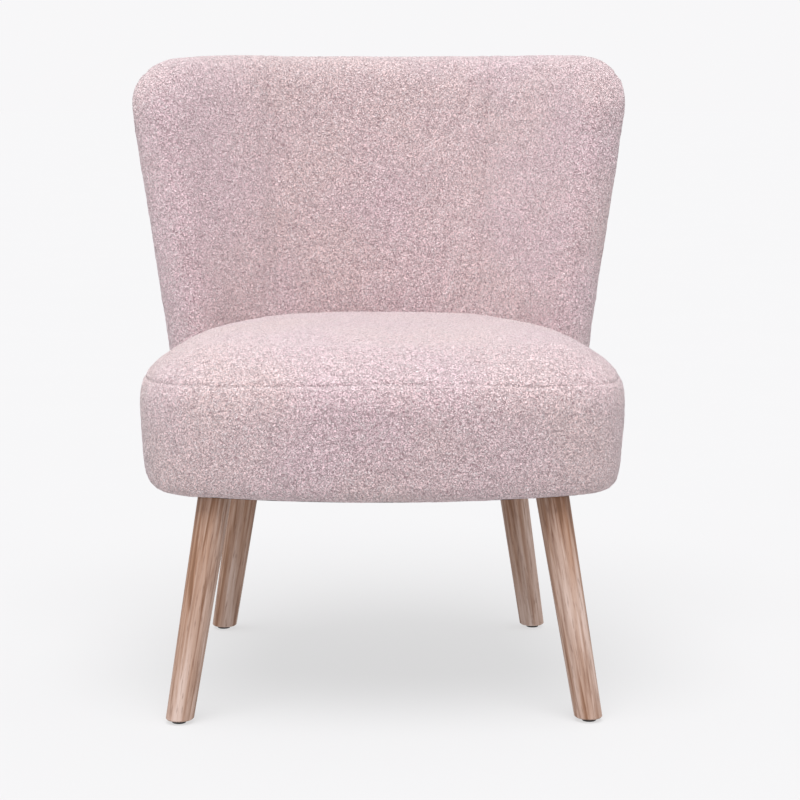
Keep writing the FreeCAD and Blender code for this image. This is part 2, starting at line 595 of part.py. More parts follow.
# ---- the chair ----------------------------------------------------------------------------------
def build():
    legs = {"front": leg_axis(FRONT_FOOT, True), "rear": leg_axis(REAR_FOOT, False)}
    nails, bolts, nuts, rooms = [], [], [], []
    for row, (start, end, direction) in legs.items():
        wood, nail = leg(start, end, direction)
        bolt, nut = hanger_bolt(end, direction), t_nut(end, direction)
        room = leg_clearance(end, direction, 1.5)
        keep(f"leg_{row}_right", wood)
        keep(f"leg_{row}_left", mirrored(wood))
        keep(f"glide_{row}_right", glide(start))
        keep(f"glide_{row}_left", mirrored(glide(start)))
        nails += [nail, mirrored(nail)]
        bolts += [bolt, mirrored(bolt)]
        nuts += [nut, mirrored(nut)]
        rooms += [room, mirrored(room)]
    keep("glide_nails", Part.makeCompound(nails))
    keep("leg_hanger_bolts", Part.makeCompound(bolts))
    keep("leg_t_nuts", Part.makeCompound(nuts))
    legs_room = Part.makeCompound(rooms)
    back_room = back_body(-GAP).cut(lower_core())
    base_frame(legs)
    springs()
    seat_soft_parts(back_room, legs_room)
    dust_cover(legs_room)
    back_frame()
    back_bolt_hardware()
    keep("wing_post_screws", wing_post_screws())
    back_soft_parts(legs_room)


build()
os.makedirs("parts", exist_ok=True)
for name, shape in pieces.items():
    shape.exportStep(os.path.join("parts", name + ".step"))
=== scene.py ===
import json
import math

import bmesh
import bpy
import numpy as np
from mathutils import Matrix, Vector, noise


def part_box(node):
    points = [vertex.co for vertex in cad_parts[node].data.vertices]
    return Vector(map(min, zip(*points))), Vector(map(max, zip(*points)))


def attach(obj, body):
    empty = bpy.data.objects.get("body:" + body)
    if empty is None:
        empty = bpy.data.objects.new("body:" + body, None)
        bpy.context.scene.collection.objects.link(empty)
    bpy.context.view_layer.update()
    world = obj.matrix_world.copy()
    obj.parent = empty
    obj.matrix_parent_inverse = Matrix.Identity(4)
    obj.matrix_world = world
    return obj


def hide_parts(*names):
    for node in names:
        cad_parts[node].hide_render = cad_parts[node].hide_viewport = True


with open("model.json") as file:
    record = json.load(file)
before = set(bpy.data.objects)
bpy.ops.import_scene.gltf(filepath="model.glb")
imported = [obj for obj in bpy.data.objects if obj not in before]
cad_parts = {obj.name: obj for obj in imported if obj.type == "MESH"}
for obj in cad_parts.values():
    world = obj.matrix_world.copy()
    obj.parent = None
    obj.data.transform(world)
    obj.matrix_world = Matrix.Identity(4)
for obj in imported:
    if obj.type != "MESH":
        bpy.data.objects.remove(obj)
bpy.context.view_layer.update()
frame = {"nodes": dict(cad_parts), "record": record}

# Looks of an armless upholstered chair, in metres: +Z is up, the front is -Y, names with _right are at +X.
# The seat and the back are closed forms, swollen by cloth simulation and cut along their seams into panels.

# ---- the seat's form, as in the CAD -------------------------------------------------------------
BORDER_LOW, BORDER_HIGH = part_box("seat_border_cover")
TOP_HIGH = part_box("seat_top_cover")[1]
BACK_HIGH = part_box("inside_back_cover_centre")[1]

UNDERSIDE_Z = BORDER_LOW.z
SEAM_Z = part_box("seat_top_cover")[0].z - 0.002
SEAT_FRONT_Y = BORDER_LOW.y
SEAT_HALF_WIDTH = BORDER_HIGH.x
WIDEST_Y = -0.106
FRONT_ARC_RADIUS = 0.600
CORNER_RADIUS = 0.085
FLANK_RADIUS = 0.450
REAR_ARC_RADIUS = 0.345          # hidden inside the back
BORDER_TAPER = 0.005
ROLL_RADIUS = 0.018
SHOULDER_RADIUS = 0.045
SHOULDER_Z = 0.352
CROWN_RADIUS = 0.200
CROWN_ANGLE = math.radians(52.0)
SEAT_CENTRE = (0.0, -0.060)       # middle of the crowned top
SEAT_TOP_Z = 0.408                # where the back's inside face meets the crown
CROWN_TOP_Z = TOP_HIGH.z + 0.006
TURN_UNDER = 0.050                # inset of the border's hem under the chair

# ---- the back's form ----------------------------------------------------------------------------
BACK_TOP_Z = BACK_HIGH.z - 0.002
BACK_AXIS_Y = -0.1203
TAN_LEAN = math.tan(math.radians(11.3))
INNER_RADIUS = 0.285
SEAT_LEVEL_Z = 0.400
OUTER_BASE_RADIUS = 0.344
OUTER_KNEE_Z = 0.360
KNEE_BLEND = 0.045
BACK_HALF_ANGLE = math.radians(52.0)
TOP_CORNER_RADIUS = 0.068
LOW_CORNER_RADIUS = 0.030
EDGE_RADIUS = 0.028
SEAM_X_LOW = 0.126                # inside-back seams, at SEAT_LEVEL_Z
SEAM_X_HIGH = 0.144               # and at the top
REAR_SEAM_TOP_Z = 0.721
REAR_SEAM_LOW_Z = 0.262
REAR_SEAM_ANGLE = BACK_HALF_ANGLE - 0.024 / 0.421

# ---- upholstery ---------------------------------------------------------------------------------
VOXEL = 0.008
PRESSURE = 4.0
SEAT_SWELL, BACK_SWELL = 0.005, 0.004     # the furthest that a point may move
SIM_FRAMES = 20
PINNED_BAND = 0.005               # held in the simulation on each side of a seam
CUT_BAND = 0.008                  # faces this near a seam get its edge loops
UNDERSIDE_BAND = 0.004            # faces this low count as the flat underside
UNDERSIDE_HELD = 0.006            # points this low are held in the simulation
SEAM_DIP = 0.009                  # the seat's seam runs this much lower at the sides than in front
GROOVE_DEPTH = 0.0016
GROOVE_WIDTH = 0.0024
NUB_SIZE = 0.0042
NUB_HEIGHT = 0.00045
UNEVEN = ((0.0007, 0.055, 5.0), (0.0004, 0.022, 7.0))     # height, size and seed of soft lumps
LOOP_OFFSETS = (0.0, -0.0010, 0.0010, -0.0026, 0.0026)
LIP = 0.005                       # cover turned in at a seam or hem
SLUMP_START, SLUMP_RUN = 0.165, 0.135
SLUMP_DROP = 0.009
SLUMP_LOW_Z, SLUMP_RISE = 0.60, 0.14
OUTSIDE_SHIFT = 0.012             # the outside half of the back starts this far beyond its middle
HIDDEN_DEPTH = 0.012              # how far a panel runs in behind its neighbour
HEM_INSET = 0.034                 # from the back's outline to the hem of its cover, past its rolled edges
SHEET_SEAT_INSET = 0.0225         # rim of the dust cover, from the seat's outline
SHEET_BACK_INSET = 0.0175         # and from the back's
SHEET_TRIM, SHEET_LIFT = 0.005, 0.0009
SHEET_STEP = 0.012
SLACK_REACH, SLACK_DEPTH, RIPPLE_DEPTH = 0.86, 0.0045, 0.0016
LEG_LEAN_OUT, LEG_LEAN_ALONG = math.radians(9.0), math.radians(12.0)
LEG_CLEARANCE = 0.0215            # no cover within this distance of a leg's axis, under the chair
LEG_CLEARANCE_TOP_Z = 0.27

# ---- colours of the cloth and the wood ----------------------------------------------------------
LOOP_COOL, LOOP_WARM = (0.950, 0.695, 0.755), (0.970, 0.725, 0.725)
# painted highlight: the pale colour of the loops' crests
CREST_HIGHLIGHT = (0.995, 0.860, 0.885)
# painted shade: the dark colour of the hollows between the loops
HOLLOW_SHADE = (0.310, 0.165, 0.195)
WOOD_DARK, WOOD_LIGHT = (0.225, 0.110, 0.062), (0.400, 0.215, 0.130)
WASH_DARK, WASH_LIGHT = (0.460, 0.325, 0.270), (0.600, 0.465, 0.410)
FLECK = (0.150, 0.070, 0.045)

# ---- studio -------------------------------------------------------------------------------------
FLOOR_HALF = 60.0
# painted light: how strongly the floor glows
FLOOR_GLOW = 0.62
SUN_STRENGTH = 3.0
SUN_SPREAD = math.radians(50.0)
SUN_HEADING = (0.05, 0.32, -1.0)
ROOM_STRENGTH = 0.76
BACKDROP = (0.935, 0.930, 0.940)
CAMERA_PLACE = (-0.0445, -2.7478, 0.7054)
CAMERA_YAW, CAMERA_PITCH, CAMERA_ROLL = math.radians(-1.415), math.radians(7.846), math.radians(0.086)
LENS_MM, SENSOR_MM = 102.7, 36.0


# ---- outlines -----------------------------------------------------------------------------------
def circle_crossing(centre_a, radius_a, centre_b, radius_b, rear):
    """Where two circles cross: the crossing nearer the rear, or nearer the front."""
    gap_x, gap_y = centre_b[0] - centre_a[0], centre_b[1] - centre_a[1]
    apart = math.hypot(gap_x, gap_y)
    along = (radius_a ** 2 - radius_b ** 2 + apart ** 2) / (2 * apart)
    aside = math.sqrt(radius_a ** 2 - along ** 2)
    middle_x, middle_y = centre_a[0] + along * gap_x / apart, centre_a[1] + along * gap_y / apart
    step_x, step_y = aside * gap_y / apart, -aside * gap_x / apart
    crossings = [(middle_x + step_x, middle_y + step_y), (middle_x - step_x, middle_y - step_y)]
    return sorted(crossings, key=lambda point: point[1])[1 if rear else 0]


def arc(centre, radius, angle0, angle1, count):
    """Points of an arc without its last one, so that arcs chain."""
    steps = [angle0 + (angle1 - angle0) * k / count for k in range(count)]
    return [(centre[0] + radius * math.cos(a), centre[1] + radius * math.sin(a)) for a in steps]


def seat_outline(inset):
    """Plan of the seat moved in by inset, from the middle of the front round the right side and back."""
    front = (0.0, SEAT_FRONT_Y + FRONT_ARC_RADIUS)
    flank = (SEAT_HALF_WIDTH - FLANK_RADIUS, WIDEST_Y)
    rear = (0.0, BACK_AXIS_Y)
    corner = circle_crossing(front, FRONT_ARC_RADIUS - CORNER_RADIUS,
                             flank, FLANK_RADIUS - CORNER_RADIUS, False)
    end = circle_crossing(flank, FLANK_RADIUS - inset, rear, REAR_ARC_RADIUS - inset, True)
    turn0 = math.atan2(corner[1] - front[1], corner[0] - front[0])
    turn1 = math.atan2(corner[1] - flank[1], corner[0] - flank[0])
    turn2 = math.atan2(end[1] - flank[1], end[0] - flank[0])
    turn3 = math.atan2(end[1] - rear[1], end[0] - rear[0])
    half = arc(front, FRONT_ARC_RADIUS - inset, -math.pi / 2, turn0, 24)
    half += arc(corner, CORNER_RADIUS - inset, turn0, turn1, 12)
    half += arc(flank, FLANK_RADIUS - inset, turn1, turn2, 36)
    half += arc(rear, REAR_ARC_RADIUS - inset, turn3, math.pi / 2, 24)
    half.append((0.0, BACK_AXIS_Y + REAR_ARC_RADIUS - inset))
    return half + [(-x, y) for x, y in reversed(half[1:-1])]


def seat_profile():
    """(inset, height) up the seat's edge: lower roll, wall, shoulder, crown."""
    steps = []
    for k in range(8):
        lean = math.pi / 2 * k / 7
        inset = BORDER_TAPER + ROLL_RADIUS * (1 - math.sin(lean))
        steps.append((inset, UNDERSIDE_Z + ROLL_RADIUS * (1 - math.cos(lean))))
    low = steps[-1][1]
    for k in range(1, 10):
        part = k / 10
        steps.append((BORDER_TAPER * (1 - part) ** 2, low + (SHOULDER_Z - low) * part))
    for k in range(9):
        lean = CROWN_ANGLE * k / 8
        inset = SHOULDER_RADIUS * (1 - math.cos(lean))
        steps.append((inset, SHOULDER_Z + SHOULDER_RADIUS * math.sin(lean)))
    apart = CROWN_RADIUS - SHOULDER_RADIUS
    centre = (SHOULDER_RADIUS + apart * math.cos(CROWN_ANGLE), SHOULDER_Z - apart * math.sin(CROWN_ANGLE))
    for rise in (3.0, 6.0, 9.0, 12.0, 15.0, 18.0):
        lean = CROWN_ANGLE + math.radians(rise)
        inset = centre[0] - CROWN_RADIUS * math.cos(lean)
        steps.append((inset, centre[1] + CROWN_RADIUS * math.sin(lean)))
    return steps


def rings_to_mesh(name, rings, first_cap, last_cap):
    """Closed mesh through rings of the same number of points, each end closed round a point."""
    count = len(rings[0])
    points = [point for ring in rings for point in ring] + [first_cap, last_cap]
    faces = []
    for level in range(len(rings) - 1):
        for k in range(count):
            a, b = level * count + k, level * count + (k + 1) % count
            faces.append((a, b, b + count, a + count))
    first, last, top = len(points) - 2, len(points) - 1, (len(rings) - 1) * count
    for k in range(count):
        faces.append((first, (k + 1) % count, k))
        faces.append((last, top + k, top + (k + 1) % count))
    mesh = bpy.data.meshes.new(name)
    mesh.from_pydata(points, [], faces)
    piece = bpy.data.objects.new(name, mesh)
    bpy.context.scene.collection.objects.link(piece)
    return piece


def seat_form():
    """Closed form of the seat: the outline moved in step by step up its edge, then drawn to the crown."""
    rings = [[(x, y, z) for x, y in seat_outline(inset)] for inset, z in seat_profile()]
    rim = rings[-1]
    rim_z = rim[0][2]
    for part in (0.15, 0.3, 0.45, 0.6, 0.75, 0.9):
        z = rim_z + (CROWN_TOP_Z - rim_z) * (1 - (1 - part) ** 2)
        inwards = [(SEAT_CENTRE[0] - x, SEAT_CENTRE[1] - y) for x, y, _ in rim]
        rings.append([(x + dx * part, y + dy * part, z) for (x, y, _), (dx, dy) in zip(rim, inwards)])
    return rings_to_mesh("seat_form", rings, (*SEAT_CENTRE, UNDERSIDE_Z), (*SEAT_CENTRE, CROWN_TOP_Z))


def inner_radius(z):
    """Radius of the back's inside face at height z."""
    return INNER_RADIUS + (z - SEAT_LEVEL_Z) * TAN_LEAN


def outer_radius(z):
    """Radius of the outside face: upright below the knee, leaning above it, a parabola between the two."""
    above = z - OUTER_KNEE_Z
    if above >= KNEE_BLEND:
        return OUTER_BASE_RADIUS + above * TAN_LEAN
    if above <= -KNEE_BLEND:
        return OUTER_BASE_RADIUS
    return OUTER_BASE_RADIUS + TAN_LEAN * (above + KNEE_BLEND) ** 2 / (4 * KNEE_BLEND)


def rim_distance(along, z):
    """How far a point of the back lies inside its rim: along is its distance from the wing's end."""
    down, up = BACK_TOP_Z - z, z - UNDERSIDE_Z
    edge, radius = (down, TOP_CORNER_RADIUS) if down < up else (up, LOW_CORNER_RADIUS)
    if along < radius and edge < radius:
        return radius - math.hypot(radius - along, radius - edge)
    return min(along, edge)


def rim_height(along, z_in, z_out):
    """Height between z_in and z_out where the rim is crossed."""
    for _ in range(40):
        middle = (z_in + z_out) / 2
        if rim_distance(along, middle) > 0:
            z_in = middle
        else:
            z_out = middle
    return z_in


def back_ring(angle, along):
    """Closed outline of the back where an upright plane through its axis cuts it."""
    belly = (UNDERSIDE_Z + BACK_TOP_Z) / 2
    top, bottom = rim_height(along, belly, BACK_TOP_Z), rim_height(along, belly, UNDERSIDE_Z)
    rolled = [EDGE_RADIUS * (1 - math.cos(math.pi / 2 * k / 8)) for k in range(9)]
    inside = top - bottom - 2 * EDGE_RADIUS
    heights = [bottom + rise for rise in rolled]
    heights += [bottom + EDGE_RADIUS + inside * k / 40 for k in range(1, 40)]
    heights += [top - drop for drop in reversed(rolled)]
    near, far = [], []
    for z in heights:
        middle = (inner_radius(z) + outer_radius(z)) / 2
        inward = EDGE_RADIUS - min(rim_distance(along, z), EDGE_RADIUS)
        half = (outer_radius(z) - inner_radius(z)) / 2 - EDGE_RADIUS
        half += math.sqrt(max(EDGE_RADIUS ** 2 - inward ** 2, 0.0))
        for side, radius in ((near, middle - half), (far, middle + half)):
            side.append((radius * math.sin(angle), BACK_AXIS_Y + radius * math.cos(angle), z))
    return near + far[::-1]


def back_form():
    """Closed form of the back: outlines turned about its axis, closer together at the rolled ends."""
    reach = 0.5 * (inner_radius(BACK_TOP_Z) + outer_radius(SEAT_LEVEL_Z))
    rolled = [EDGE_RADIUS * (1 - math.cos(math.pi / 2 * k / 8)) + 0.0002 for k in range(9)]
    middle = BACK_HALF_ANGLE * reach
    alongs = rolled + [EDGE_RADIUS + (middle - EDGE_RADIUS) * k / 36 for k in range(1, 37)]
    rings = [back_ring(along / reach - BACK_HALF_ANGLE, along) for along in alongs]
    rings += [back_ring(BACK_HALF_ANGLE - along / reach, along) for along in reversed(alongs[:-1])]
    caps = [tuple(np.mean(rings[end], axis=0)) for end in (0, -1)]
    return rings_to_mesh("back_form", rings, caps[0], caps[1])


# ---- mesh work ----------------------------------------------------------------------------------
def coordinates(mesh):
    """Places of a mesh's vertices, one row each."""
    flat = np.empty(len(mesh.vertices) * 3)
    mesh.vertices.foreach_get("co", flat)
    return flat.reshape(-1, 3)


def normals(mesh):
    """Normals of a mesh's vertices, one row each."""
    flat = np.empty(len(mesh.vertices) * 3)
    mesh.vertices.foreach_get("normal", flat)
    return flat.reshape(-1, 3)


def set_coordinates(mesh, points):
    """Move a mesh's vertices to the given places."""
    mesh.vertices.foreach_set("co", np.asarray(points, float).ravel())
    mesh.update()


def bake_modifier(piece, kind, **settings):
    """Add one modifier, keep its result as the mesh, and remove it."""
    modifier = piece.modifiers.new(kind.title(), kind)
    for name, value in settings.items():
        setattr(modifier, name, value)
    graph = bpy.context.evaluated_depsgraph_get()
    mesh = bpy.data.meshes.new_from_object(piece.evaluated_get(graph))
    piece.modifiers.clear()
    piece.data = mesh


def back_angle(points):
    """Angle of each point round the back's axis, 0 in the middle and positive on the right."""
    return np.arctan2(points[:, 0], points[:, 1] - BACK_AXIS_Y)


def back_radius(points):
    """Distance of each point from the back's upright axis."""
    return np.hypot(points[:, 0], points[:, 1] - BACK_AXIS_Y)


def back_radii(points):
    """Inner and outer radius of the back at each point's height."""
    heights = np.linspace(UNDERSIDE_Z - 0.05, BACK_TOP_Z + 0.05, 500)
    outer = np.interp(points[:, 2], heights, [outer_radius(z) for z in heights])
    return inner_radius(points[:, 2]), outer


def inside_seam_distance(points, side):
    """Signed distance across an inside-back seam, positive towards the wing."""
    rise = (SEAM_X_HIGH - SEAM_X_LOW) / (BACK_HIGH.z - SEAT_LEVEL_Z)
    return side * points[:, 0] - SEAM_X_LOW - rise * (points[:, 2] - SEAT_LEVEL_Z)


def seat_seam_height(points):
    """The seam round the seat: lower at the sides, and wavering by a millimetre, as hand sewing does."""
    angle = np.arctan2(points[:, 0], -(points[:, 1] - SEAT_CENTRE[1]))
    sides = -SEAM_DIP * np.sin(angle) ** 2
    return SEAM_Z + sides + 0.0010 * np.sin(5 * angle + 0.6) + 0.0006 * np.sin(13 * angle + 2.0)


def simulate(piece, pinned, most):
    """Swell the closed form under pressure, its seams held, and let no point move further than most."""
    rest = coordinates(piece.data)
    group = piece.vertex_groups.new(name="held")
    group.add([int(k) for k in np.nonzero(pinned)[0]], 1.0, "REPLACE")
    modifier = piece.modifiers.new("Cloth", "CLOTH")
    cloth = modifier.settings
    cloth.quality = 5
    cloth.mass = 0.25
    cloth.tension_stiffness = 25.0
    cloth.compression_stiffness = 25.0
    cloth.shear_stiffness = 10.0
    cloth.bending_stiffness = 1.0
    cloth.use_pressure = True
    cloth.uniform_pressure_force = PRESSURE
    cloth.vertex_group_mass = "held"
    cloth.effector_weights.gravity = 0.0
    modifier.point_cache.frame_start = 1
    modifier.point_cache.frame_end = SIM_FRAMES
    for number in range(1, SIM_FRAMES + 1):
        bpy.context.scene.frame_set(number)
    graph = bpy.context.evaluated_depsgraph_get()
    swollen = piece.evaluated_get(graph).to_mesh()
    moved = coordinates(swollen) - rest
    piece.evaluated_get(graph).to_mesh_clear()
    piece.modifiers.clear()
    piece.vertex_groups.clear()
    bpy.context.scene.frame_set(1)
    length = np.linalg.norm(moved, axis=1, keepdims=True)
    soft = most * np.tanh(length / most) / np.maximum(length, 1e-9)
    outward = (moved * normals(piece.data)).sum(1, keepdims=True)
    moved = np.where(outward < -0.001, moved * 0.2, moved)
    set_coordinates(piece.data, rest + moved * soft)


def face_centres(mesh):
    """Centres of a mesh's faces, one row each."""
    flat = np.empty(len(mesh.polygons) * 3)
    mesh.polygons.foreach_get("center", flat)
    return flat.reshape(-1, 3)


def cut_loops(mesh, chosen, origin, normal):
    """Add edge loops on and beside a plane, through the faces whose centres are chosen."""
    mask = chosen(face_centres(mesh))
    work = bmesh.new()
    work.from_mesh(mesh)
    work.faces.ensure_lookup_table()
    faces = [work.faces[int(k)] for k in np.nonzero(mask)[0]]
    edges = dict.fromkeys(edge for face in faces for edge in face.edges)
    corners = dict.fromkeys(corner for face in faces for corner in face.verts)
    geometry = faces + list(edges) + list(corners)
    for offset in LOOP_OFFSETS:
        place = Vector(origin) + Vector(normal).normalized() * offset
        cut = bmesh.ops.bisect_plane(work, geom=geometry, dist=1e-5, plane_co=place, plane_no=normal)
        geometry = cut["geom"]
    work.to_mesh(mesh)
    work.free()


def drop_slivers(mesh):
    """Merge the close vertices and thin faces that the cuts leave."""
    work = bmesh.new()
    work.from_mesh(mesh)
    bmesh.ops.remove_doubles(work, verts=work.verts, dist=0.00012)
    bmesh.ops.dissolve_degenerate(work, dist=1e-5, edges=work.edges)
    work.to_mesh(mesh)
    work.free()


def lumps(points, size, seed):
    """Smooth noise from -1 to 1 with lumps of about that size."""
    scale = 1.0 / size
    return np.array([noise.noise(Vector(point) * scale + Vector((seed, 0, 0))) for point in points])


def dress(mesh, groove, floor_z):
    """Loops of the pile, soft unevenness and the grooves of the seams, along the normals."""
    points, along = coordinates(mesh), normals(mesh)
    nubs = NUB_HEIGHT * (lumps(points, NUB_SIZE, 3.0) + 0.5 * lumps(points, NUB_SIZE / 2, 11.0))
    uneven = sum(height * lumps(points, size, seed) for height, size, seed in UNEVEN)
    raised = nubs + uneven + NUB_HEIGHT - GROOVE_DEPTH * groove(points)
    moved = points + along * raised[:, None]
    moved[:, 2] = np.maximum(moved[:, 2], floor_z + 0.0003)
    set_coordinates(mesh, moved)


def panel(name, source, belongs):
    """One sewn panel: the source's faces whose centres belong to it, with its edges turned in by LIP."""
    work = bmesh.new()
    work.from_mesh(source)
    mine = belongs(face_centres(source))
    work.faces.ensure_lookup_table()
    bmesh.ops.delete(work, geom=[work.faces[int(k)] for k in np.nonzero(~mine)[0]], context="FACES")
    lone = [corner for corner in work.verts if not corner.link_faces]
    bmesh.ops.delete(work, geom=lone, context="VERTS")
    work.normal_update()
    edges = [edge for edge in work.edges if edge.is_boundary]
    outward = {corner: corner.normal.copy() for edge in edges for corner in edge.verts}
    grown = bmesh.ops.extrude_edge_only(work, edges=edges)["geom"]
    added = [item for item in grown if isinstance(item, bmesh.types.BMVert)]
    near = {tuple(round(value, 7) for value in corner.co): normal for corner, normal in outward.items()}
    for corner in added:
        key = tuple(round(value, 7) for value in corner.co)
        corner.co -= near.get(key, Vector((0, 0, 0))) * LIP
    mesh = bpy.data.meshes.new(name)
    work.to_mesh(mesh)
    work.free()
    for face in mesh.polygons:
        face.use_smooth = True
    piece = bpy.data.objects.new(name, mesh)
    bpy.context.scene.collection.objects.link(piece)
    return piece


def upholster(form, pinned, most):
    """Even quads, swollen, then smooth and fine enough for the pile."""
    bake_modifier(form, "REMESH", mode="VOXEL", voxel_size=VOXEL)
    simulate(form, pinned(coordinates(form.data)), most)
    bake_modifier(form, "SUBSURF", levels=2, render_levels=2)


# ---- seat ---------------------------------------------------------------------------------------
def in_back(points, depth):
    """Points that lie deeper than depth under the back's inside face, and well behind a wing's end."""
    inner, _ = back_radii(points)
    behind_end = np.abs(back_angle(points)) < BACK_HALF_ANGLE - HEM_INSET / OUTER_BASE_RADIUS
    return (back_radius(points) > inner + depth) & behind_end & (points[:, 1] > BACK_AXIS_Y)


def seat_pinned(points):
    """Points of the seat that the simulation holds: its seam, its underside and what the back hides."""
    at_seam = np.abs(points[:, 2] - seat_seam_height(points)) < PINNED_BAND
    return at_seam | (points[:, 2] < UNDERSIDE_Z + UNDERSIDE_HELD) | in_back(points, 0.0)


def seat_groove(points):
    """1 at the seat's seam, fading within GROOVE_WIDTH, and nothing where the back hides the seam."""
    away = np.abs(points[:, 2] - seat_seam_height(points)) / GROOVE_WIDTH
    front = np.clip((0.35 - back_radius(points)) / 0.02, 0, 1)
    return np.exp(-away ** 2) * front


def seat_panels():
    """Seat top and seat border, with the seam levelled while its edge loops are cut."""
    form = seat_form()
    upholster(form, seat_pinned, SEAT_SWELL)
    mesh = form.data
    points = coordinates(mesh)
    waver = seat_seam_height(points) - SEAM_Z
    set_coordinates(mesh, points - np.outer(waver, (0, 0, 1)))
    cut_loops(mesh, lambda centres: np.abs(centres[:, 2] - SEAM_Z) < CUT_BAND, (0, 0, SEAM_Z), (0, 0, 1))
    drop_slivers(mesh)
    points = coordinates(mesh)
    waver = seat_seam_height(points) - SEAM_Z
    set_coordinates(mesh, points + np.outer(waver, (0, 0, 1)))
    dress(mesh, seat_groove, UNDERSIDE_Z)
    inner_hem = [Vector((x, y, 0)) for x, y in seat_outline(TURN_UNDER)]

    def above(centres):
        return centres[:, 2] > seat_seam_height(centres)

    def top(centres):
        return above(centres) & ~in_back(centres, HIDDEN_DEPTH)

    def border(centres):
        under = (centres[:, 2] < UNDERSIDE_Z + UNDERSIDE_BAND) & inside_outline(centres, inner_hem)
        return ~above(centres) & ~in_back(centres, HIDDEN_DEPTH) & ~under & clear_of_legs(centres)

    pieces = [panel("seat_top_panel", mesh, top), panel("seat_border_panel", mesh, border)]
    bpy.data.objects.remove(form)
    return pieces


def inside_outline(points, outline):
    """Which points lie inside a closed plan outline."""
    inside = np.zeros(len(points), bool)
    for a, b in zip(outline, outline[1:] + outline[:1]):
        crosses = (a.y > points[:, 1]) != (b.y > points[:, 1])
        step = (b.y - a.y) if abs(b.y - a.y) > 1e-12 else 1e-12
        inside ^= crosses & (points[:, 0] < a.x + (points[:, 1] - a.y) * (b.x - a.x) / step)
    return inside


def clear_of_legs(points):
    """Which points lie outside every leg's clearance at the height of the underside."""
    clear = np.ones(len(points), bool)
    for row in ("front", "rear"):
        low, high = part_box(f"glide_{row}_right")
        foot = (low + high) / 2
        side = math.tan(LEG_LEAN_OUT)
        along = math.tan(LEG_LEAN_ALONG) * (1 if row == "front" else -1)
        for mirror in (1, -1):
            x = mirror * (foot.x - side * points[:, 2])
            y = foot.y + along * points[:, 2]
            away = np.hypot(points[:, 0] - x, points[:, 1] - y)
            clear &= (away > LEG_CLEARANCE) | (points[:, 2] > LEG_CLEARANCE_TOP_Z)
    return clear


# ---- back ---------------------------------------------------------------------------------------
def in_seat(points, depth):
    """Points that lie deeper than depth inside the seat and its lower roll, as the back's foot does."""
    outline = [Vector((x, y, 0)) for x, y in seat_outline(depth)]
    rolled = [Vector((x, y, 0)) for x, y in seat_outline(depth + BORDER_TAPER + ROLL_RADIUS)]
    under_top = points[:, 2] < SEAT_TOP_Z - depth
    above_roll = points[:, 2] > UNDERSIDE_Z + ROLL_RADIUS
    within = np.where(above_roll, inside_outline(points, outline), inside_outline(points, rolled))
    return under_top & within & (points[:, 2] > UNDERSIDE_Z + 0.001)


def on_outside(points):
    """Which points lie on the outside face's half of the back."""
    inner, outer = back_radii(points)
    return back_radius(points) > (inner + outer) / 2 + OUTSIDE_SHIFT


def in_outside_panel(points):
    """Which points belong to the panel that closes the outside of the back."""
    within = np.abs(back_angle(points)) < REAR_SEAM_ANGLE
    within &= (points[:, 2] < REAR_SEAM_TOP_Z) & (points[:, 2] > REAR_SEAM_LOW_Z)
    return on_outside(points) & within


def rear_seam_distance(points):
    """Distance from the outside panel's edge, on the outside half of the back."""
    sideways = (np.abs(back_angle(points)) - REAR_SEAM_ANGLE) * back_radius(points)
    upright = np.maximum(points[:, 2] - REAR_SEAM_TOP_Z, REAR_SEAM_LOW_Z - points[:, 2])
    return np.where(on_outside(points), np.abs(np.maximum(sideways, upright)), 1.0)


def nearest_inside_seam(points):
    """Distance from the nearer inside-back seam, on the inside covers only."""
    away = np.minimum(np.abs(inside_seam_distance(points, 1)), np.abs(inside_seam_distance(points, -1)))
    return np.where(in_outside_panel(points), 1.0, away)


def back_pinned(points):
    """Points of the back that the simulation holds: its seams, its underside and what the seat hides."""
    at_seam = np.minimum(nearest_inside_seam(points), rear_seam_distance(points)) < PINNED_BAND
    return at_seam | in_seat(points, 0.0) | (points[:, 2] < UNDERSIDE_Z + UNDERSIDE_HELD)


def back_groove(points):
    """1 at the outside panel's edge and 0.6 at the inside seams, fading within GROOVE_WIDTH."""
    inside = 0.6 * np.exp(-(nearest_inside_seam(points) / GROOVE_WIDTH) ** 2)
    return np.maximum(inside, np.exp(-(rear_seam_distance(points) / GROOVE_WIDTH) ** 2))


def back_cuts(mesh):
    """Edge loops along the two inside seams and the four sides of the outside panel."""
    rise = (SEAM_X_HIGH - SEAM_X_LOW) / (BACK_HIGH.z - SEAT_LEVEL_Z)
    for side in (1, -1):
        cut_loops(mesh, lambda centres: (np.abs(inside_seam_distance(centres, side)) < CUT_BAND)
                  & ~in_outside_panel(centres), (side * SEAM_X_LOW, 0, SEAT_LEVEL_Z), (side, 0, -rise))
    for z in (REAR_SEAM_TOP_Z, REAR_SEAM_LOW_Z):
        cut_loops(mesh, lambda centres: on_outside(centres) & (np.abs(centres[:, 2] - z) < CUT_BAND),
                  (0, 0, z), (0, 0, 1))
    for side in (1, -1):
        angle = side * REAR_SEAM_ANGLE
        cut_loops(mesh, lambda centres: on_outside(centres)
                  & (np.abs(back_angle(centres) - angle) * OUTER_BASE_RADIUS < CUT_BAND),
                  (0, BACK_AXIS_Y, 0), (math.cos(angle), -math.sin(angle), 0))


def slump(mesh):
    """The top of the left wing is stuffed a little lower than the right one."""
    points = coordinates(mesh)
    beyond = np.clip((-points[:, 0] - SLUMP_START) / SLUMP_RUN, 0, 1.1)
    high = np.clip((points[:, 2] - SLUMP_LOW_Z) / SLUMP_RISE, 0, 1)
    points[:, 2] -= SLUMP_DROP * beyond ** 2 * high ** 2
    set_coordinates(mesh, points)


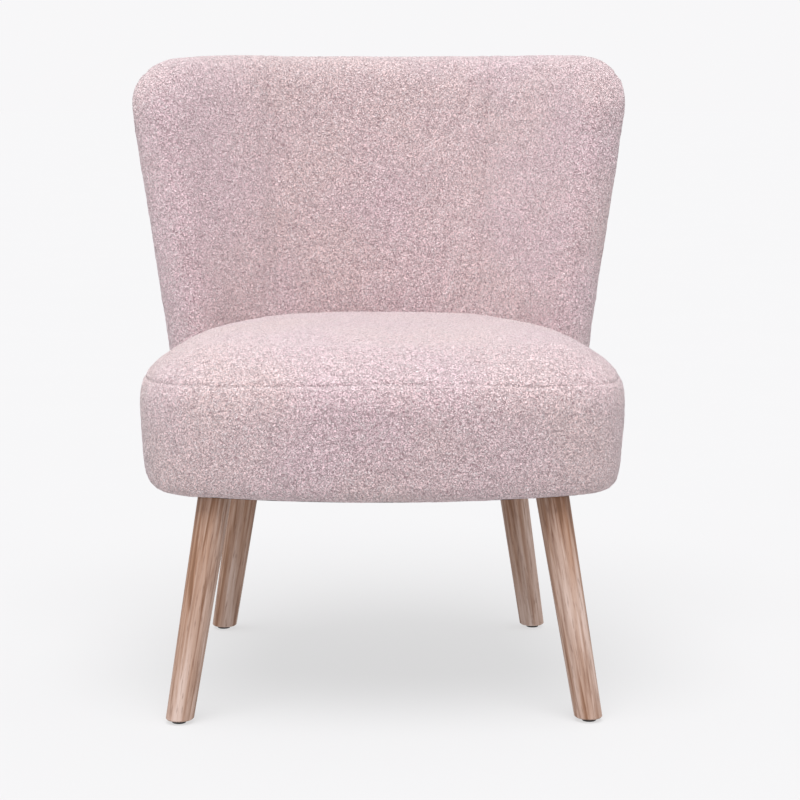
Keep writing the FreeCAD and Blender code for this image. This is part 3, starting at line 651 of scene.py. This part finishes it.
def back_panels():
    """Three inside panels, which also wrap over the top and round the wings, and one outside panel."""
    form = back_form()
    slump(form.data)
    upholster(form, back_pinned, BACK_SWELL)
    mesh = form.data
    back_cuts(mesh)
    drop_slivers(mesh)
    dress(mesh, back_groove, UNDERSIDE_Z)

    def shown(centres):
        _, outer = back_radii(centres)
        beneath = centres[:, 2] < UNDERSIDE_Z + UNDERSIDE_BAND
        beneath &= back_radius(centres) < outer - HEM_INSET
        beneath &= np.abs(back_angle(centres)) < BACK_HALF_ANGLE - HEM_INSET / OUTER_BASE_RADIUS
        return ~in_seat(centres, HIDDEN_DEPTH) & ~beneath & clear_of_legs(centres)

    def inside(centres):
        return ~in_outside_panel(centres) & shown(centres)

    def wing(side):
        return lambda centres: inside(centres) & (inside_seam_distance(centres, side) > 0)

    def centre_panel(centres):
        apart = np.maximum(inside_seam_distance(centres, 1), inside_seam_distance(centres, -1))
        return inside(centres) & (apart <= 0)

    pieces = [
        panel("inside_back_left_panel", mesh, wing(-1)),
        panel("inside_back_centre_panel", mesh, centre_panel),
        panel("inside_back_right_panel", mesh, wing(1)),
        panel("outside_back_panel", mesh, in_outside_panel),
    ]
    bpy.data.objects.remove(form)
    return pieces


# ---- dust cover ---------------------------------------------------------------------------------
def cut_in_squares(work, low, high):
    """Cut a flat sheet along a square grid of SHEET_STEP, so that it can hang in a curve."""
    for normal, start, end in ((Vector((1, 0, 0)), low.x, high.x), (Vector((0, 1, 0)), low.y, high.y)):
        for k in range(1, int((end - start) / SHEET_STEP) + 1):
            place = normal * (start + k * SHEET_STEP)
            everything = list(work.faces) + list(work.edges) + list(work.verts)
            bmesh.ops.bisect_plane(work, geom=everything, dist=1e-6, plane_co=place, plane_no=normal)


def on_sheet_rim(places):
    """Which points of the dust cover belong to its rim, under the seat or under the back."""
    hem = [Vector((x, y, 0)) for x, y in seat_outline(SHEET_SEAT_INSET)]
    at_back = (places[:, 1] > BACK_AXIS_Y) & (np.abs(back_angle(places)) < BACK_HALF_ANGLE)
    past_back = back_radius(places) > OUTER_BASE_RADIUS - SHEET_BACK_INSET
    return np.where(at_back, past_back, ~inside_outline(places, hem))


def dust_sheet():
    """Thin cloth stapled under the frame, hanging a little slack, its rim tucked in and up."""
    source = frame["nodes"]["dust_cover"].data
    low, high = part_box("dust_cover")
    middle = (low + high) / 2
    work = bmesh.new()
    work.from_mesh(source)
    bmesh.ops.remove_doubles(work, verts=work.verts, dist=1e-6)
    cut_in_squares(work, low, high)
    work.verts.ensure_lookup_table()
    rim = on_sheet_rim(np.array([corner.co for corner in work.verts]))
    for corner, at_rim in zip(work.verts, rim):
        if at_rim:
            corner.co -= (corner.co - middle).normalized() * SHEET_TRIM
            corner.co.z += SHEET_LIFT
        across = (corner.co.x - middle.x) / (high.x - low.x) * 2
        along = (corner.co.y - middle.y) / (high.y - low.y) * 2
        out = min(math.hypot(across, along), 1.0)
        slack = max(1 - (out / SLACK_REACH) ** 2, 0.0)
        ripple = noise.noise(Vector((corner.co.x * 22, corner.co.y * 14, 4.0)))
        corner.co.z -= slack * (SLACK_DEPTH + RIPPLE_DEPTH * ripple)
    mesh = bpy.data.meshes.new("dust_sheet")
    work.to_mesh(mesh)
    work.free()
    for face in mesh.polygons:
        face.use_smooth = abs(face.normal.z) > 0.5
    piece = bpy.data.objects.new("dust_sheet", mesh)
    bpy.context.scene.collection.objects.link(piece)
    return piece


# ---- materials ----------------------------------------------------------------------------------
class Nodes:
    """A new material with its shader, and short ways to add nodes to it."""

    def __init__(self, name, roughness, metallic=0.0, specular=0.3):
        self.material = bpy.data.materials.new(name)
        self.material.use_nodes = True
        self.tree = self.material.node_tree
        self.shader = self.tree.nodes["Principled BSDF"]
        self.shader.inputs["Roughness"].default_value = roughness
        self.shader.inputs["Metallic"].default_value = metallic
        self.shader.inputs["Specular IOR Level"].default_value = specular
        self.place = self.add("ShaderNodeTexCoord").outputs["Object"]

    def add(self, kind, **values):
        node = self.tree.nodes.new(kind)
        for name, value in values.items():
            setattr(node, name, value)
        return node

    def link(self, source, target):
        self.tree.links.new(source, target)

    def noise(self, scale, detail=2.0, place=None, distortion=0.0):
        node = self.add("ShaderNodeTexNoise")
        self.link(place or self.place, node.inputs["Vector"])
        node.inputs["Scale"].default_value = scale
        node.inputs["Detail"].default_value = detail
        node.inputs["Distortion"].default_value = distortion
        return node.outputs["Fac"]

    def maths(self, operation, a, b=0.0, clamp=False):
        node = self.add("ShaderNodeMath", operation=operation, use_clamp=clamp)
        for socket, value in zip(node.inputs, (a, b)):
            if isinstance(value, (int, float)):
                socket.default_value = value
            else:
                self.link(value, socket)
        return node.outputs[0]

    def spread(self, value, low, high, to_low=0.0, to_high=1.0):
        node = self.add("ShaderNodeMapRange", clamp=True)
        self.link(value, node.inputs["Value"])
        limits = {"From Min": low, "From Max": high, "To Min": to_low, "To Max": to_high}
        for name, number in limits.items():
            node.inputs[name].default_value = number
        return node.outputs["Result"]

    def mix(self, share, a, b):
        node = self.add("ShaderNodeMix", data_type="RGBA")
        for name, value in (("Factor", share), ("A", a), ("B", b)):
            socket = [s for s in node.inputs if s.name == name and s.enabled][0]
            if isinstance(value, tuple):
                socket.default_value = (*value, 1.0)
            elif isinstance(value, float):
                socket.default_value = value
            else:
                self.link(value, socket)
        return [s for s in node.outputs if s.enabled][0]

    def stretched(self, scale, rotation=(0.0, 0.0, 0.0)):
        """Object coordinates, turned and then scaled differently along each axis."""
        turn = self.add("ShaderNodeVectorRotate", rotation_type="EULER_XYZ")
        self.link(self.place, turn.inputs["Vector"])
        turn.inputs["Rotation"].default_value = rotation
        node = self.add("ShaderNodeVectorMath", operation="MULTIPLY")
        self.link(turn.outputs[0], node.inputs[0])
        node.inputs[1].default_value = scale
        return node.outputs[0]

    def bump(self, height, strength, distance, under=None):
        node = self.add("ShaderNodeBump")
        node.inputs["Strength"].default_value = strength
        node.inputs["Distance"].default_value = distance
        self.link(height, node.inputs["Height"])
        if under is not None:
            self.link(under, node.inputs["Normal"])
        return node.outputs["Normal"]

    def finish(self, colour, normal=None, roughness=None):
        self.link(colour, self.shader.inputs["Base Color"])
        if normal is not None:
            self.link(normal, self.shader.inputs["Normal"])
        if roughness is not None:
            self.link(roughness, self.shader.inputs["Roughness"])
        return self.material


def gaps(kit, scale, width):
    """Thin curling hollows, 1 in the hollow and 0 on the loops of yarn between them."""
    value = kit.noise(scale, 1.5, None, 0.7)
    away = kit.maths("ABSOLUTE", kit.maths("SUBTRACT", value, 0.5))
    return kit.spread(away, 0.0, width, 1.0, 0.0)


def boucle():
    """Looped pile: pale loops of two sizes with a painted highlight on their crests and painted shade in
    their curling hollows, in slow warm and cool patches.
    """
    kit = Nodes("pink_boucle", 0.92, specular=0.12)
    large, small = gaps(kit, 350.0, 0.050), gaps(kit, 640.0, 0.055)
    hollow = kit.maths("MAXIMUM", large, kit.maths("MULTIPLY", small, 0.75))
    crest = kit.spread(kit.noise(480.0, 1.0), 0.45, 0.70)
    warm = kit.spread(kit.noise(7.0, 2.0), 0.35, 0.65)
    # painted highlight on the crests and painted shade in the hollows, both mixed into the cloth's colour
    pale = kit.mix(crest, kit.mix(warm, LOOP_COOL, LOOP_WARM), CREST_HIGHLIGHT)
    colour = kit.mix(hollow, pale, HOLLOW_SHADE)
    height = kit.maths("SUBTRACT", kit.maths("MULTIPLY", crest, 0.5), hollow)
    fibre = kit.noise(1500.0, 2.0)
    normal = kit.bump(height, 0.9, 0.0014)
    normal = kit.bump(fibre, 0.2, 0.0003, normal)
    kit.shader.inputs["Sheen Weight"].default_value = 0.75
    kit.shader.inputs["Sheen Roughness"].default_value = 0.40
    kit.shader.inputs["Sheen Tint"].default_value = (1.0, 0.97, 0.97, 1.0)
    return kit.finish(colour, normal)


def limed_wood(name, rotation):
    """Warm brown timber under a pinkish-white wash, which gathers in the grain and is less towards the top,
    so the leg is darker and browner there.
    """
    kit = Nodes(name, 0.55, specular=0.35)
    along = kit.stretched((1.0, 1.0, 0.045), rotation)
    grain = kit.noise(210.0, 5.0, along, 0.4)
    streak = kit.noise(60.0, 3.0, along, 0.8)
    fleck = kit.spread(kit.noise(620.0, 2.0, kit.stretched((1.0, 1.0, 0.09), rotation)), 0.58, 0.72)
    split = kit.add("ShaderNodeSeparateXYZ")
    kit.link(kit.place, split.inputs[0])
    # the share of wash falls from the foot to the top, so the leg is darker and browner towards the top
    low = kit.spread(split.outputs["Z"], 0.02, 0.235, 0.50, 0.20)
    share = kit.maths("ADD", low, kit.maths("MULTIPLY", kit.maths("SUBTRACT", streak, 0.5), 1.9))
    in_grain = kit.maths("MULTIPLY", kit.maths("SUBTRACT", grain, 0.5), 2.2)
    share = kit.maths("ADD", share, in_grain, clamp=True)
    wood = kit.mix(kit.spread(grain, 0.35, 0.65), WOOD_DARK, WOOD_LIGHT)
    wash = kit.mix(kit.spread(streak, 0.3, 0.7), WASH_DARK, WASH_LIGHT)
    colour = kit.mix(share, wood, wash)
    colour = kit.mix(kit.maths("MULTIPLY", fleck, 0.55), colour, FLECK)
    normal = kit.bump(grain, 0.25, 0.0006)
    normal = kit.bump(fleck, 0.2, 0.0004, normal)
    return kit.finish(colour, normal, kit.spread(grain, 0.3, 0.7, 0.48, 0.66))


def plain(name, dark, light, scale, roughness, bump=0.2, metallic=0.0, stretch=(1.0, 1.0, 1.0)):
    """Two shades mottled together, with matching bump: foam, felt, board, sawn timber, steel."""
    kit = Nodes(name, roughness, metallic, 0.4)
    place = kit.stretched(stretch)
    coarse, fine = kit.noise(scale, 4.0, place), kit.noise(scale * 6, 2.0, place)
    value = kit.maths("ADD", kit.maths("MULTIPLY", coarse, 0.7), kit.maths("MULTIPLY", fine, 0.3))
    colour = kit.mix(kit.spread(value, 0.35, 0.65), dark, light)
    rough = kit.spread(fine, 0.3, 0.7, roughness - 0.06, roughness + 0.06)
    return kit.finish(colour, kit.bump(value, bump, 0.0008), rough)


def nonwoven():
    """Thin black bonded cloth: fine fibres and a grid of pressed dots."""
    kit = Nodes("dust_cloth", 0.85, specular=0.2)
    fibres = kit.noise(700.0, 3.0, kit.stretched((1.0, 0.35, 1.0), (0.0, 0.0, 0.5)))
    dots = kit.add("ShaderNodeTexVoronoi", distance="CHEBYCHEV")
    dots.inputs["Scale"].default_value = 420.0
    dots.inputs["Randomness"].default_value = 0.0
    kit.link(kit.place, dots.inputs["Vector"])
    pressed = kit.spread(dots.outputs["Distance"], 0.15, 0.35)
    value = kit.maths("ADD", kit.maths("MULTIPLY", fibres, 0.5), kit.maths("MULTIPLY", pressed, 0.5))
    colour = kit.mix(value, (0.012, 0.012, 0.014), (0.050, 0.050, 0.056))
    return kit.finish(colour, kit.bump(value, 0.4, 0.0003))


def make_materials():
    """Every material slot by name, and one timber for each leg, its grain turned to the leg's lean."""
    materials = {
        "pink_boucle": boucle(),
        "dust_cloth": nonwoven(),
        "black_nylon": plain("black_nylon", (0.010, 0.010, 0.011), (0.024, 0.024, 0.026), 300.0, 0.42,
                             0.15),
        "zinc_steel": plain("zinc_steel", (0.42, 0.42, 0.45), (0.66, 0.66, 0.70), 180.0, 0.35, 0.1, 1.0),
        "spring_steel": plain("spring_steel", (0.05, 0.05, 0.055), (0.12, 0.12, 0.125), 150.0, 0.40, 0.1,
                              0.9),
        "liner_board": plain("liner_board", (0.30, 0.20, 0.12), (0.42, 0.29, 0.18), 250.0, 0.85, 0.3),
        "frame_timber": plain("frame_timber", (0.40, 0.27, 0.15), (0.62, 0.46, 0.28), 90.0, 0.65, 0.2,
                              stretch=(0.12, 1.0, 1.0)),
        "frame_plywood": plain("frame_plywood", (0.42, 0.30, 0.17), (0.68, 0.53, 0.34), 60.0, 0.62, 0.2,
                               stretch=(0.2, 0.2, 9.0)),
        "foam": plain("foam", (0.72, 0.66, 0.48), (0.86, 0.82, 0.66), 420.0, 0.95, 0.5),
        "wadding": plain("wadding", (0.80, 0.80, 0.78), (0.92, 0.92, 0.91), 160.0, 0.95, 0.5),
        "felt": plain("felt", (0.10, 0.09, 0.08), (0.22, 0.20, 0.19), 380.0, 0.95, 0.5),
    }
    for row, lean in (("front", 1), ("rear", -1)):
        for side, sign in (("left", -1), ("right", 1)):
            rotation = (LEG_LEAN_ALONG * lean, LEG_LEAN_OUT * sign, 0.0)
            materials[f"leg_{row}_{side}"] = limed_wood(f"limed_wood_{row}_{side}", rotation)
    return materials


def paint(piece, material):
    piece.data.materials.clear()
    piece.data.materials.append(material)


# ---- stage --------------------------------------------------------------------------------------
def floor():
    """Wide pale floor with painted light: it glows faintly, so that shadows on it stay light."""
    mesh = bpy.data.meshes.new("studio_floor")
    corners = [(x * FLOOR_HALF, y * FLOOR_HALF, 0) for x, y in ((-1, -1), (1, -1), (1, 1), (-1, 1))]
    mesh.from_pydata(corners, [], [(0, 1, 2, 3)])
    piece = bpy.data.objects.new("studio_floor", mesh)
    bpy.context.scene.collection.objects.link(piece)
    kit = Nodes("studio_paper", 0.95, specular=0.0)
    kit.shader.inputs["Emission Color"].default_value = (1.0, 0.995, 1.0, 1.0)
    kit.shader.inputs["Emission Strength"].default_value = FLOOR_GLOW
    paint(piece, kit.finish(kit.mix(kit.noise(3.0), (0.186, 0.186, 0.190), (0.192, 0.192, 0.196))))


def lights():
    """A broad soft sun almost overhead, an even white room, and the backdrop that the camera sees."""
    light = bpy.data.lights.new("top_light", "SUN")
    light.energy = SUN_STRENGTH
    light.angle = SUN_SPREAD
    lamp = bpy.data.objects.new("top_light", light)
    bpy.context.scene.collection.objects.link(lamp)
    lamp.matrix_world = Vector(SUN_HEADING).to_track_quat("-Z", "Y").to_matrix().to_4x4()
    world = bpy.data.worlds.new("studio")
    world.use_nodes = True
    tree = world.node_tree
    behind = tree.nodes["Background"]
    behind.inputs["Color"].default_value = (*BACKDROP, 1.0)
    around = tree.nodes.new("ShaderNodeBackground")
    around.inputs["Color"].default_value = (1.0, 1.0, 1.0, 1.0)
    around.inputs["Strength"].default_value = ROOM_STRENGTH
    path = tree.nodes.new("ShaderNodeLightPath")
    mix = tree.nodes.new("ShaderNodeMixShader")
    tree.links.new(path.outputs["Is Camera Ray"], mix.inputs[0])
    tree.links.new(around.outputs[0], mix.inputs[1])
    tree.links.new(behind.outputs[0], mix.inputs[2])
    tree.links.new(mix.outputs[0], tree.nodes["World Output"].inputs["Surface"])
    bpy.context.scene.world = world
    bpy.context.scene.view_settings.view_transform = "Standard"


def camera():
    """The photograph's viewpoint: a long lens a little above the seat, looking slightly down."""
    data = bpy.data.cameras.new("camera")
    data.sensor_width = SENSOR_MM
    data.lens = LENS_MM
    data.clip_end = 60.0
    lens = bpy.data.objects.new("camera", data)
    bpy.context.scene.collection.objects.link(lens)
    turn = Matrix.Rotation(CAMERA_YAW, 4, "Z") @ Matrix.Rotation(math.pi / 2 - CAMERA_PITCH, 4, "X")
    turn = turn @ Matrix.Rotation(CAMERA_ROLL, 4, "Z")
    lens.matrix_world = Matrix.Translation(CAMERA_PLACE) @ turn
    bpy.context.scene.camera = lens


# ---- the chair ----------------------------------------------------------------------------------
REPLACED = {
    "seat_top_panel": ("seat_top_cover", "pink_boucle"),
    "seat_border_panel": ("seat_border_cover", "pink_boucle"),
    "inside_back_left_panel": ("inside_back_cover_left", "back_foam_left", "pink_boucle"),
    "inside_back_centre_panel": ("inside_back_cover_centre", "back_foam_centre", "pink_boucle"),
    "inside_back_right_panel": ("inside_back_cover_right", "back_foam_right", "pink_boucle"),
    "outside_back_panel": ("outside_back_cover", "pink_boucle"),
    "dust_sheet": ("dust_cover", "dust_cloth"),
}


def build():
    """Paint every CAD node, then add the sewn covers and the dust cover in place of their solids."""
    materials = make_materials()
    for part in frame["record"]["subparts"]:
        name = part["node"]
        paint(frame["nodes"][name], materials.get(name) or materials[part["material_slot"]])
    for piece in seat_panels() + back_panels():
        keep(piece, materials)
    sheet = dust_sheet()
    keep(sheet, materials)


def keep(piece, materials):
    """Paint a visual piece, hang it on the root body and hide the solids that it stands for."""
    *nodes, slot = REPLACED[piece.name]
    paint(piece, materials[slot])
    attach(piece, "root")
    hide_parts(*nodes)


camera()
lights()
floor()
build()
bpy.context.view_layer.update()
